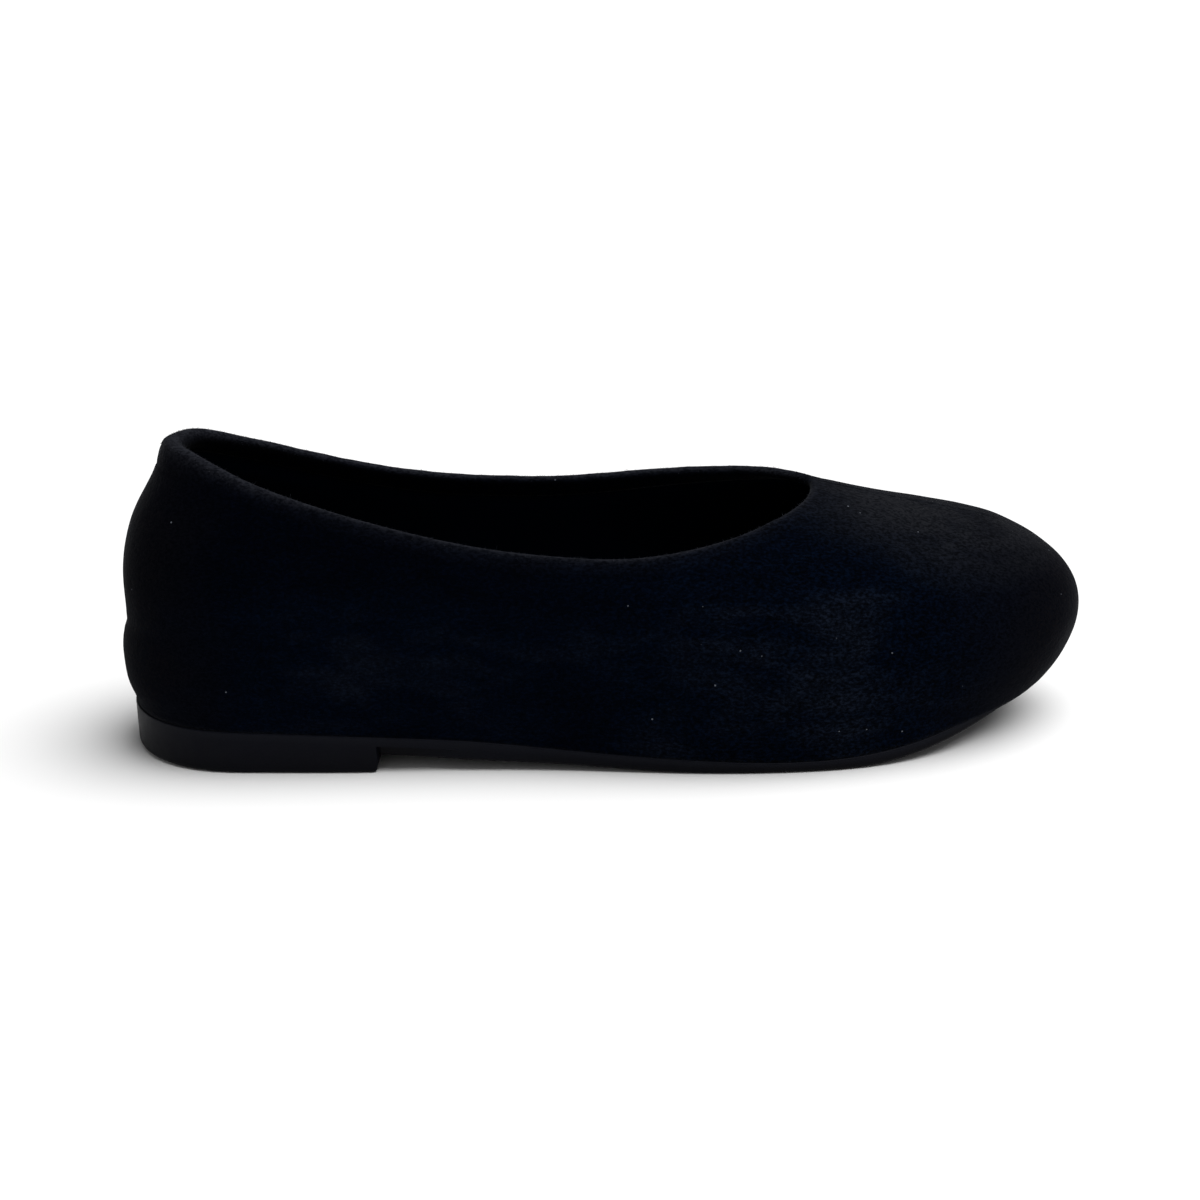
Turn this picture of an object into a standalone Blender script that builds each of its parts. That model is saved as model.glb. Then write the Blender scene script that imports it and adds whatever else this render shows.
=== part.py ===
# Ballet flat, right foot: one suede shell, a moulded unit sole and a footbed.
# Sizes below are millimetres; x runs from the back of the heel to the toe,
# -y is the lateral side, +y the medial side, z = 0 is the floor.
import bpy
import bmesh
import numpy as np
from math import pi

for old in list(bpy.data.objects):
    bpy.data.objects.remove(old, do_unlink=True)

MM = 0.001

# ---------------------------------------------------------------- main sizes
SOLE_BACK = 2.6          # rear edge of the sole
SOLE_FRONT = 241.8       # front edge of the sole
TOE_SHIFT = 5.0          # toe tip lies this far to the medial side
CREST_SIDE = 2.5         # crest of the vamp lies this far to the medial side
CENTRE_X = 124.8         # middle of the whole shoe, moved to the origin
CENTRE_Y = 1.2
WALL = 2.0               # thickness of the upper with its lining
UPPER_INSET = 0.8        # foot of the upper inside the sole edge
GAP = 0.3                # clear gap between pieces
RIM_ROUND = 0.6          # rounding of the collar rim
THROAT_X = 179.0         # front end of the collar opening
NECK = 2.8               # how far the wall is drawn in under the heel collar
NECK_DROP = 8.0          # height of that neck below the collar
NECK_ABOVE, NECK_BELOW = 14.0, 9.0   # its reach up and down
FOLD = 1.7               # depth of the worn fold across the heel back
FOLD_Z = 35.0            # its height
FOLD_ABOVE, FOLD_BELOW = 8.5, 6.0    # its reach up and down

HEEL_BREAST = 66.6       # front face of the heel block, at the floor
BREAST_LEAN = 1.2        # the face leans forward by this much at its top
BAND = 2.4               # flush band round the top of the sole
RECESS = 2.2             # shank drawn in below the band, just before the breast
RECESS_END = 92.0        # where that recess runs out
SOLE_ROUND = 1.1         # rounding of the lower sole edge
TOP_ROUND = 0.4          # rounding of the upper sole edge

BED_INSET = 3.3          # footbed inside the sole edge
BED_THICK = 2.4
BED_ROUND = 0.7

COLUMNS = 50             # wall columns on each side, heel to toe
CREST_COLUMNS = 16       # of these, the ones that end on the crest of the vamp
FAN_FOOT = 0.76          # the column of the throat tip starts here on the feather line
FAN_BEND = 2.6           # how late the columns swing over to their upper end
ROWS = 11                # wall rows, foot to collar

# plan outline of the sole: half widths before the two ends are rounded
OUTLINE = [  # x, lateral, medial
    (0, 27.0, 27.0), (30, 28.6, 28.4), (60, 30.6, 28.8), (90, 31.4, 26.8),
    (115, 33.2, 27.4), (140, 36.6, 31.5), (160, 39.0, 36.0), (178, 39.6, 38.5),
    (200, 38.6, 38.8), (222, 36.5, 37.0), (248, 34.0, 35.0)]
HEEL_ROUND = (31.0, 2.35, 2.1)     # length, two exponents
TOE_ROUND = (66.0, 2.15, 2.05)

# line where the upper meets the sole
FEATHER = [  # x, z
    (0, 12.2), (30, 11.4), (66, 9.9), (92, 8.2), (110, 6.4), (128, 4.9), (148, 3.8),
    (172, 3.1), (190, 3.9), (208, 6.6), (225, 11.0), (240, 15.6), (248, 18.4)]

# underside of the sole on the centre line, ahead of the breast
UNDER = [  # x, z
    (64, 3.7), (80, 3.3), (96, 2.5), (112, 1.7), (126, 0.85), (138, 0.2), (146, 0.0),
    (182, 0.0), (190, 0.25), (200, 1.5), (210, 3.7), (222, 7.3), (234, 11.4), (248, 16.2)]
FLAT = (146.0, 182.0)    # forefoot tread that lies on the floor

# crest line that the two sides of the upper meet on (virtual over the opening)
CREST = [  # x, z
    (20, 108), (60, 99), (100, 87), (140, 75), (165, 67.5), (179, 63.1),
    (197, 58.0), (214, 54.3), (226, 51.2), (236, 46.5)]

# wall sections along the feather line, s = 0 heel back, s = 1 toe tip
SECTION = [  # s, crest x, lateral: outset, rise, shoulder, medial: outset, rise, shoulder
    (0.00,  36,   13, 36, 13.5,   13, 36, 13.5),
    (0.10,  40,   12, 38, 11,     12, 38, 11),
    (0.22,  62,   11, 40,  8,     11, 40,  8),
    (0.38, 100,    9, 40, 10,      7, 42,  9),
    (0.52, 138,    9, 40, 17,      6, 42, 15),
    (0.64, 168,    9, 38, 24,      5, 38, 20),
    (0.76, 196,    9, 33, 28,      6, 33, 22),
    (0.88, 217, 12.5, 16, 27,      9, 23, 27),
    (1.00, 229,   12,  8, 24,     12,  8, 24)]

# height of the collar
COLLAR = [  # x, lateral z, medial z
    (8, 80.7, 80.7), (15, 80.1, 79.7), (25, 77.4, 76.3), (40, 71.9, 71.8), (58, 66.0, 66.8),
    (76, 60.8, 63.4), (95, 56.5, 62.0), (114, 54.2, 61.6), (130, 53.7, 62.3),
    (145, 55.3, 63.3), (159, 58.1, 63.9), (170, 61.0, 64.6), (176, 62.6, 64.2), (179, 63.4, 63.4)]


# ------------------------------------------------------------------- curves
def spline(rows, col, x):
    """natural cubic spline of one table column against the first column"""
    k = np.array([r[0] for r in rows], float)
    v = np.array([r[col] for r in rows], float)
    n = len(k)
    h = np.diff(k)
    a = np.zeros((n, n))
    b = np.zeros(n)
    a[0, 0] = a[-1, -1] = 1.0
    for i in range(1, n - 1):
        a[i, i - 1], a[i, i], a[i, i + 1] = h[i - 1], 2 * (h[i - 1] + h[i]), h[i]
        b[i] = 6 * ((v[i + 1] - v[i]) / h[i] - (v[i] - v[i - 1]) / h[i - 1])
    m = np.linalg.solve(a, b)
    x = np.clip(np.asarray(x, float), k[0], k[-1])
    i = np.clip(np.searchsorted(k, x) - 1, 0, n - 2)
    p, q, w = k[i + 1] - x, x - k[i], h[i]
    return ((m[i] * p**3 + m[i + 1] * q**3) / (6 * w)
            + (v[i] / w - m[i] * w / 6) * p + (v[i + 1] / w - m[i + 1] * w / 6) * q)


def smooth(a, b, x):
    t = np.clip((np.asarray(x, float) - a) / (b - a), 0, 1)
    return t * t * (3 - 2 * t)


def half_width(x, side):
    w = spline(OUTLINE, 1 if side < 0 else 2, x)
    length, n, m = HEEL_ROUND
    w = w * np.clip(1 - np.clip(1 - (x - SOLE_BACK) / length, 0, 1)**n, 0, 1)**(1 / m)
    length, n, m = TOE_ROUND
    return w * np.clip(1 - np.clip(1 - (SOLE_FRONT - x) / length, 0, 1)**n, 0, 1)**(1 / m)


def centre(x):
    return TOE_SHIFT * smooth(120, 250, x)


def feather(x):
    return spline(FEATHER, 1, x)


def outward(p, side):
    """unit normals of a plan curve, pointing out of the shoe"""
    d = np.gradient(p, axis=0)
    d /= np.linalg.norm(d, axis=1)[:, None]
    n = np.stack([-d[:, 1], d[:, 0]], 1) * side
    n[0], n[-1] = (-1, 0), (1, 0)
    return n


def dense_outline(side):
    x = SOLE_BACK + (SOLE_FRONT - SOLE_BACK) * (1 - np.cos(np.linspace(0, pi, 1601))) / 2
    return np.stack([x, centre(x) + side * half_width(x, side)], 1)


def stations(p, n):
    """n points of a plan curve at even spacing along it"""
    s = np.r_[0, np.cumsum(np.linalg.norm(np.diff(p, axis=0), axis=1))]
    u = np.linspace(0, s[-1], n)
    return np.stack([np.interp(u, s, p[:, 0]), np.interp(u, s, p[:, 1])], 1)


# ---------------------------------------------------------------- wall of the upper
class Side:
    """one side of the upper: at(s, t) runs from the feather line to the crest"""

    def __init__(self, side):
        self.side = side
        p = dense_outline(side)
        p = p - outward(p, side) * UPPER_INSET
        self.foot = stations(p, 801)
        self.normal = outward(self.foot, side)
        self.grid = np.linspace(0, 1, 801)
        self.column = 2 if side < 0 else 5

    def pick(self, table, s):
        return np.stack([np.interp(s, self.grid, table[:, 0]), np.interp(s, self.grid, table[:, 1])], 1)

    def at(self, s, t):
        s = np.atleast_1d(np.asarray(s, float))
        t = np.atleast_1d(np.asarray(t, float))[:, None]
        foot, n = self.pick(self.foot, s), self.pick(self.normal, s)
        n = n / np.linalg.norm(n, axis=1)[:, None]
        cx = spline(SECTION, 1, s)
        outset, rise, shoulder = (spline(SECTION, self.column + k, s) for k in range(3))
        crest = np.stack([cx, centre(cx) + CREST_SIDE * smooth(235, 190, cx), spline(CREST, 1, cx)], 1)
        slope = spline(CREST, 1, cx + 0.5) - spline(CREST, 1, cx - 0.5)
        p0 = np.column_stack([foot, feather(foot[:, 0])])
        p1 = p0 + np.column_stack([n * outset[:, None], rise])
        d = foot - crest[:, :2]
        d /= np.linalg.norm(d, axis=1)[:, None]
        p2 = crest + np.column_stack([d, slope * d[:, 0]]) * shoulder[:, None]
        return (1 - t)**3 * p0 + 3 * (1 - t)**2 * t * p1 + 3 * (1 - t) * t * t * p2 + t**3 * crest

    def collar(self, s):
        """t at which the wall meets the collar, 1 in front of the throat"""
        tt = np.linspace(0.15, 1, 240)
        p = self.at(np.full(len(tt), s), tt)
        height = spline(COLLAR, 1 if self.side < 0 else 2, p[:, 0]) + 4.0 * np.maximum(p[:, 0] - THROAT_X, 0)
        g = p[:, 2] - height
        over = np.nonzero(g >= 0)[0]
        if not len(over) or over[0] == 0:
            return 1.0
        k = over[0]
        return float(tt[k - 1] + (tt[k] - tt[k - 1]) * -g[k - 1] / (g[k] - g[k - 1]))

    def throat(self):
        """s at which the collar reaches the crest"""
        a, b = 0.5, 0.9
        for _ in range(30):
            m = (a + b) / 2
            a, b = (m, b) if self.collar(m) < 0.9999 else (a, m)
        return (a + b) / 2


SIDES = {-1: Side(-1), 1: Side(1)}
THROAT_S = {k: h.throat() for k, h in SIDES.items()}
HEEL_T = (SIDES[-1].collar(0.0) + SIDES[1].collar(0.0)) / 2


def wall_grid(side):
    """rows x columns of points, foot to collar and crest"""
    h = SIDES[side]
    th = sum(THROAT_S.values()) / 2
    # columns fan out under the throat so that none runs along the rim;
    f = np.r_[np.linspace(0, FAN_FOOT, COLUMNS - CREST_COLUMNS + 1), np.linspace(FAN_FOOT, 1, CREST_COLUMNS + 1)[1:]]
    # they end at even spacing along the collar, then along the crest
    s = THROAT_S[side] * (1 - (1 - np.linspace(0, 1, 300))**2)
    t = np.array([h.collar(v) for v in s])
    t[0] = HEEL_T
    along = np.r_[0, np.cumsum(np.linalg.norm(np.diff(h.at(s, t), axis=0), axis=1))]
    even = np.linspace(0, along[-1], COLUMNS - CREST_COLUMNS + 1)
    top = np.r_[np.interp(even, along, s), np.linspace(th, 1, CREST_COLUMNS + 1)[1:]]
    tops = np.r_[np.interp(even, along, t), np.ones(CREST_COLUMNS)]
    top[COLUMNS - CREST_COLUMNS], tops[COLUMNS - CREST_COLUMNS] = th, 1.0
    v = np.linspace(0, 1, ROWS + 1)
    out = np.zeros((ROWS + 1, COLUMNS + 1, 3))
    for c in range(COLUMNS + 1):
        out[:, c] = h.at(f[c] + (top[c] - f[c]) * v**FAN_BEND, v * tops[c])
        # neck under the heel collar and fold across the heel: the wall is drawn in there
        drop = out[-1, c, 2] - out[:, c, 2]
        reach = np.where(drop > NECK_DROP, NECK_BELOW, NECK_ABOVE)
        pull = NECK * smooth(70, 12, out[:, c, 0]) * np.exp(-((drop - NECK_DROP) / reach)**2)
        reach = np.where(out[:, c, 2] > FOLD_Z, FOLD_ABOVE, FOLD_BELOW)
        pull += FOLD * smooth(36, 6, out[:, c, 0]) * np.exp(-((out[:, c, 2] - FOLD_Z) / reach)**2)
        d = np.array([52.0, 0.0]) - out[:, c, :2]
        d /= np.linalg.norm(d, axis=1)[:, None]
        out[:, c, :2] += d * pull[:, None] * (f[c] < 0.5)
    return out


# ---------------------------------------------------------------- mesh helpers
def collection(name, hidden=False):
    c = bpy.data.collections.new(name)
    bpy.context.scene.collection.children.link(c)
    c.hide_render = hidden
    return c


SHOE = collection("ballet_flat")


def material(name, colour, roughness, sheen=0.0):
    m = bpy.data.materials.new(name)
    m.use_nodes = True
    b = m.node_tree.nodes["Principled BSDF"]
    b.inputs["Base Color"].default_value = (*colour, 1)
    b.inputs["Roughness"].default_value = roughness
    b.inputs["Sheen Weight"].default_value = sheen
    return m


def piece(name, verts, faces, mat):
    """mesh object from points in millimetres, centred and welded"""
    p = (np.asarray(verts, float) - [CENTRE_X, CENTRE_Y, 0]) * MM
    me = bpy.data.meshes.new(name)
    me.from_pydata([tuple(v) for v in p], [], faces)
    bm = bmesh.new()
    bm.from_mesh(me)
    bmesh.ops.remove_doubles(bm, verts=bm.verts, dist=2e-5)
    bmesh.ops.dissolve_degenerate(bm, edges=bm.edges, dist=1e-6)
    bmesh.ops.recalc_face_normals(bm, faces=bm.faces)
    bm.to_mesh(me)
    bm.free()
    for poly in me.polygons:
        poly.use_smooth = True
    me.materials.append(mat)
    ob = bpy.data.objects.new(name, me)
    SHOE.objects.link(ob)
    return ob


# ---------------------------------------------------------------- upper
def build_upper():
    verts, faces = [], []
    for side in (-1, 1):
        grid = wall_grid(side)
        base = len(verts)
        verts += [tuple(p) for p in grid.reshape(-1, 3)]
        n = COLUMNS + 1
        for r in range(ROWS):
            for c in range(COLUMNS):
                q = [base + r * n + c, base + r * n + c + 1, base + (r + 1) * n + c + 1, base + (r + 1) * n + c]
                faces.append(q if side < 0 else q[::-1])
    ob = piece("upper", verts, faces, material("suede", (0.012, 0.014, 0.02), 0.9, 0.4))
    # the open sheet has to face outwards before it is given its thickness
    me = ob.data
    side_face = min(me.polygons, key=lambda f: f.center.y)
    if side_face.normal.y > 0:
        me.flip_normals()
    solid = ob.modifiers.new("wall", "SOLIDIFY")
    solid.thickness = WALL * MM
    solid.offset = -1.0
    solid.use_even_offset = False
    solid.use_quality_normals = True
    bevel = ob.modifiers.new("rim", "BEVEL")
    bevel.width = RIM_ROUND * MM
    bevel.segments = 2
    bevel.limit_method = "ANGLE"
    bevel.angle_limit = 1.05
    bevel.harden_normals = False
    return ob


# ---------------------------------------------------------------- sole and footbed
def x_stations(extra):
    """stations along the shoe, close together where the two ends turn"""
    x = list(SOLE_BACK + (SOLE_FRONT - SOLE_BACK) * (1 - np.cos(np.linspace(0, pi, 45))) / 2)
    x = [v for v in x if all(abs(v - e) > 1.6 for e in extra)] + list(extra)
    return np.array(sorted(x))


def rings(xs, side, insets):
    """plan points of the stations, each inset along the normal by its own amount"""
    p = dense_outline(side)
    n = outward(p, side)
    q = np.stack([xs, centre(xs) + side * half_width(xs, side)], 1)
    nn = np.stack([np.interp(xs, p[:, 0], n[:, 0]), np.interp(xs, p[:, 0], n[:, 1])], 1)
    nn /= np.linalg.norm(nn, axis=1)[:, None]
    nn[0], nn[-1] = (-1, 0), (1, 0)
    return [q - nn * np.broadcast_to(i, xs.shape)[:, None] for i in insets]


def lofted(name, xs, insets, heights, across, mat):
    """closed body: both sides carry the same rings, the first and last are
    joined across the shoe by strips"""
    verts, faces = [], []

    def put(p, z):
        verts.append((p[0], p[1], z))
        return len(verts) - 1

    edge = {}
    for side in (-1, 1):
        for k, r in enumerate(rings(xs, side, insets)):
            for i in range(len(xs)):
                edge[side, k, i] = put(r[i], heights[k][i])
    last = len(insets) - 1
    for side in (-1, 1):
        for k in range(last):
            for i in range(len(xs) - 1):
                faces.append([edge[side, k, i], edge[side, k, i + 1], edge[side, k + 1, i + 1], edge[side, k + 1, i]])
    for k in (0, last):
        strips = []
        for i in range(len(xs)):
            a, b = np.array(verts[edge[-1, k, i]]), np.array(verts[edge[1, k, i]])
            row = [edge[-1, k, i]] + [put(a[:2] + (b - a)[:2] * f, a[2] + (b - a)[2] * f)
                                      for f in np.linspace(0, 1, across + 1)[1:-1]] + [edge[1, k, i]]
            strips.append(row)
        for i in range(len(xs) - 1):
            for j in range(across):
                faces.append([strips[i][j], strips[i][j + 1], strips[i + 1][j + 1], strips[i + 1][j]])
    return piece(name, verts, faces, mat)


def build_outsole():
    breast = (HEEL_BREAST, HEEL_BREAST + BREAST_LEAN)
    xs = x_stations([*breast, *FLAT, 72.0, 80.0, 96.0, 190.0])
    top = feather(xs) - GAP
    bottom = np.where(xs <= HEEL_BREAST + 0.01, 0.0, spline(UNDER, 1, xs))
    bottom = np.where((xs >= FLAT[0]) & (xs <= FLAT[1]), 0.0, np.maximum(bottom, 0.0))
    recess = np.where(xs > HEEL_BREAST + 0.01, RECESS * (1 - smooth(breast[1], RECESS_END, xs)), 0.0)
    side_end = np.maximum(top - bottom, 0)
    band = np.minimum(BAND, side_end * 0.45)
    step = np.minimum(0.25, side_end * 0.08)
    r = np.minimum(SOLE_ROUND, side_end * 0.40)
    insets = [TOP_ROUND, 0.0, 0.0, recess, recess, recess + 0.30 * r, recess + r * 1.3]
    heights = [top, top - TOP_ROUND, top - band, top - band - step, bottom + r, bottom + 0.30 * r, bottom]
    return lofted("outsole", xs, insets, heights, 6, material("sole_rubber", (0.014, 0.014, 0.018), 0.45))


def build_insole():
    xs = x_stations([])
    z = feather(xs)
    insets = [BED_INSET + BED_ROUND, BED_INSET, BED_INSET]
    heights = [z + BED_THICK, z + BED_THICK - BED_ROUND, z]
    return lofted("insole", xs, insets, heights, 6, material("bed_leather", (0.01, 0.01, 0.012), 0.7))


build_upper()
build_outsole()
build_insole()
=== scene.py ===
import bpy
import bmesh
import numpy as np
from math import pi, radians, sin, cos
from mathutils import Matrix, Vector


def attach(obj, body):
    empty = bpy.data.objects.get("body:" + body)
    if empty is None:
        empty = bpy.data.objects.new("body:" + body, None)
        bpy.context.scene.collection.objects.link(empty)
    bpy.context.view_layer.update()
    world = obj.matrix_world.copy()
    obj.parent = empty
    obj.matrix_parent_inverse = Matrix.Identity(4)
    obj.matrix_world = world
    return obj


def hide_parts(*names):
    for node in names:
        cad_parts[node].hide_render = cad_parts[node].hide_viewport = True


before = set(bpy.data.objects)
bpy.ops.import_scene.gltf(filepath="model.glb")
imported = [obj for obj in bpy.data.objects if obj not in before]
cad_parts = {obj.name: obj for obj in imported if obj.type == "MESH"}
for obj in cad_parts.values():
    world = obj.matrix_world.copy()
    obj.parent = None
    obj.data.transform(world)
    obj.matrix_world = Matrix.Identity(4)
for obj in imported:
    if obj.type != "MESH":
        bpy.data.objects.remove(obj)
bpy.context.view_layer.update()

RNG = np.random.default_rng(11)
MM = 0.001
CENTRE = np.array([124.8, 1.2, 0.0])

# ------------------------------------------------------------- shape tables
SOLE_BACK, SOLE_FRONT = 2.6, 241.8
TOE_SHIFT, CREST_SIDE = 5.0, 2.5
UPPER_INSET = 0.8
THROAT_X = 179.0
NECK, NECK_DROP, NECK_ABOVE, NECK_BELOW = 2.8, 8.0, 14.0, 9.0
FOLD, FOLD_Z, FOLD_ABOVE, FOLD_BELOW = 1.7, 35.0, 8.5, 6.0
HEEL_BREAST, BREAST_LEAN = 66.6, 1.2
BAND, RECESS, RECESS_END = 2.4, 2.2, 92.0
SOLE_ROUND, TOP_ROUND = 1.1, 0.4
BED_INSET, BED_THICK = 3.3, 2.4
FAN_FOOT, FAN_BEND = 0.76, 2.6
FLAT = (146.0, 182.0)

OUTLINE = [  # x, lateral, medial
    (0, 27.0, 27.0), (30, 28.6, 28.4), (60, 30.6, 28.8), (90, 31.4, 26.8),
    (115, 33.2, 27.4), (140, 36.6, 31.5), (160, 39.0, 36.0), (178, 39.6, 38.5),
    (200, 38.6, 38.8), (222, 36.5, 37.0), (248, 34.0, 35.0)]
HEEL_ROUND = (31.0, 2.35, 2.1)
TOE_ROUND = (66.0, 2.15, 2.05)
FEATHER = [  # x, z
    (0, 12.2), (30, 11.4), (66, 9.9), (92, 8.2), (110, 6.4), (128, 4.9), (148, 3.8),
    (172, 3.1), (190, 3.9), (208, 6.6), (225, 11.0), (240, 15.6), (248, 18.4)]
UNDER = [  # x, z
    (64, 3.7), (80, 3.3), (96, 2.5), (112, 1.7), (126, 0.85), (138, 0.2), (146, 0.0),
    (182, 0.0), (190, 0.25), (200, 1.5), (210, 3.7), (222, 7.3), (234, 11.4), (248, 16.2)]
CREST = [  # x, z
    (20, 108), (60, 99), (100, 87), (140, 75), (165, 67.5), (179, 63.1),
    (197, 58.0), (214, 54.3), (226, 51.2), (236, 46.5)]
SECTION = [  # s, crest x, lateral: outset, rise, shoulder, medial: outset, rise, shoulder
    (0.00,  36,   13, 36, 13.5,   13, 36, 13.5),
    (0.10,  40,   12, 38, 11,     12, 38, 11),
    (0.22,  62,   11, 40,  8,     11, 40,  8),
    (0.38, 100,    9, 40, 10,      7, 42,  9),
    (0.52, 138,    9, 40, 17,      6, 42, 15),
    (0.64, 168,    9, 38, 24,      5, 38, 20),
    (0.76, 196,    9, 33, 28,      6, 33, 22),
    (0.88, 217, 12.5, 16, 27,      9, 23, 27),
    (1.00, 229,   12,  8, 24,     12,  8, 24)]
COLLAR = [  # x, lateral z, medial z
    (8, 80.7, 80.7), (15, 80.1, 79.7), (25, 77.4, 76.3), (40, 71.9, 71.8), (58, 66.0, 66.8),
    (76, 60.8, 63.4), (95, 56.5, 62.0), (114, 54.2, 61.6), (130, 53.7, 62.3),
    (145, 55.3, 63.3), (159, 58.1, 63.9), (170, 61.0, 64.6), (176, 62.6, 64.2), (179, 63.4, 63.4)]

# rolled collar edge
ROLL_SIDE, ROLL_HEEL = 1.25, 2.8       # radius of the roll along the sides and at the heel
FACING = 4.4                           # suede turned in below the roll
BAND_HIGH = 4.2                        # height of the gathered edge band
SKIN = 0.7                             # thickness of the suede
LAP, LAP_FROM = 2.2, (204, 240)        # how far the suede laps down over the sole at the toe
THROAT_ROUND = 26                      # smoothing passes that round the end of the throat
TOE_TUCK = 0.65                        # sole drawn in under that lap

# nap colours (linear), the painted sheen colours, and the shader's grazing sheen
SUEDE_DARK = (0.0002, 0.0007, 0.0025)
SUEDE_MID = (0.0004, 0.0015, 0.0046)
SUEDE_LIGHT = (0.0038, 0.0052, 0.0092)
SUEDE_TOP_SHEEN = (0.0124, 0.0129, 0.0152)     # painted sheen: lighter, greyer colour on the upward-facing top of the vamp and toe
SUEDE_END_SHEEN = (0.0023, 0.0022, 0.0032)      # painted sheen: greyer colour round the toe and down the back of the heel
SHEEN, SHEEN_ROUGH = 0.036, 0.33


# ------------------------------------------------------------------- curves
def spline(rows, col, x):
    k = np.array([r[0] for r in rows], float)
    v = np.array([r[col] for r in rows], float)
    n = len(k)
    h = np.diff(k)
    a = np.zeros((n, n))
    b = np.zeros(n)
    a[0, 0] = a[-1, -1] = 1.0
    for i in range(1, n - 1):
        a[i, i - 1], a[i, i], a[i, i + 1] = h[i - 1], 2 * (h[i - 1] + h[i]), h[i]
        b[i] = 6 * ((v[i + 1] - v[i]) / h[i] - (v[i] - v[i - 1]) / h[i - 1])
    m = np.linalg.solve(a, b)
    x = np.clip(np.asarray(x, float), k[0], k[-1])
    i = np.clip(np.searchsorted(k, x) - 1, 0, n - 2)
    p, q, w = k[i + 1] - x, x - k[i], h[i]
    return ((m[i] * p**3 + m[i + 1] * q**3) / (6 * w)
            + (v[i] / w - m[i] * w / 6) * p + (v[i + 1] / w - m[i + 1] * w / 6) * q)


def smooth(a, b, x):
    t = np.clip((np.asarray(x, float) - a) / (b - a), 0, 1)
    return t * t * (3 - 2 * t)


def half_width(x, side):
    w = spline(OUTLINE, 1 if side < 0 else 2, x)
    length, n, m = HEEL_ROUND
    w = w * np.clip(1 - np.clip(1 - (x - SOLE_BACK) / length, 0, 1)**n, 0, 1)**(1 / m)
    length, n, m = TOE_ROUND
    return w * np.clip(1 - np.clip(1 - (SOLE_FRONT - x) / length, 0, 1)**n, 0, 1)**(1 / m)


def centre(x):
    return TOE_SHIFT * smooth(120, 250, x)


def feather(x):
    return spline(FEATHER, 1, x)


def outward(p, side):
    d = np.gradient(p, axis=0)
    d /= np.linalg.norm(d, axis=1)[:, None]
    n = np.stack([-d[:, 1], d[:, 0]], 1) * side
    n[0], n[-1] = (-1, 0), (1, 0)
    return n


def dense_outline(side):
    x = SOLE_BACK + (SOLE_FRONT - SOLE_BACK) * (1 - np.cos(np.linspace(0, pi, 1601))) / 2
    return np.stack([x, centre(x) + side * half_width(x, side)], 1)


def stations(p, n):
    s = np.r_[0, np.cumsum(np.linalg.norm(np.diff(p, axis=0), axis=1))]
    u = np.linspace(0, s[-1], n)
    return np.stack([np.interp(u, s, p[:, 0]), np.interp(u, s, p[:, 1])], 1)


def unit(v):
    return v / np.maximum(np.linalg.norm(v, axis=-1, keepdims=True), 1e-12)


class Side:
    """one side of the upper: at(s, t) runs from the feather line to the crest"""

    def __init__(self, side):
        self.side = side
        p = dense_outline(side)
        p = p - outward(p, side) * UPPER_INSET
        self.foot = stations(p, 801)
        self.normal = outward(self.foot, side)
        self.grid = np.linspace(0, 1, 801)
        self.column = 2 if side < 0 else 5

    def pick(self, table, s):
        return np.stack([np.interp(s, self.grid, table[:, 0]), np.interp(s, self.grid, table[:, 1])], 1)

    def at(self, s, t):
        s = np.atleast_1d(np.asarray(s, float))
        t = np.atleast_1d(np.asarray(t, float))[:, None]
        foot, n = self.pick(self.foot, s), unit(self.pick(self.normal, s))
        cx = spline(SECTION, 1, s)
        outset, rise, shoulder = (spline(SECTION, self.column + k, s) for k in range(3))
        crest = np.stack([cx, centre(cx) + CREST_SIDE * smooth(235, 190, cx), spline(CREST, 1, cx)], 1)
        slope = spline(CREST, 1, cx + 0.5) - spline(CREST, 1, cx - 0.5)
        p0 = np.column_stack([foot, feather(foot[:, 0])])
        p1 = p0 + np.column_stack([n * outset[:, None], rise])
        d = unit(foot - crest[:, :2])
        p2 = crest + np.column_stack([d, slope * d[:, 0]]) * shoulder[:, None]
        return (1 - t)**3 * p0 + 3 * (1 - t)**2 * t * p1 + 3 * (1 - t) * t * t * p2 + t**3 * crest

    def collar(self, s, lower=0.0):
        tt = np.linspace(0.15, 1, 240)
        p = self.at(np.full(len(tt), s), tt)
        height = spline(COLLAR, 1 if self.side < 0 else 2, p[:, 0]) + 4.0 * np.maximum(p[:, 0] - THROAT_X, 0)
        g = p[:, 2] - height + lower
        over = np.nonzero(g >= 0)[0]
        if not len(over) or over[0] == 0:
            return 1.0
        k = over[0]
        return float(tt[k - 1] + (tt[k] - tt[k - 1]) * -g[k - 1] / (g[k] - g[k - 1]))

    def throat(self, lower):
        a, b = 0.5, 0.9
        for _ in range(30):
            m = (a + b) / 2
            a, b = (m, b) if self.collar(m, lower) < 0.9999 else (a, m)
        return (a + b) / 2


SIDES = {-1: Side(-1), 1: Side(1)}


def roll_radius(s):
    return ROLL_SIDE + (ROLL_HEEL - ROLL_SIDE) * smooth(0.13, 0.0, s)


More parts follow.
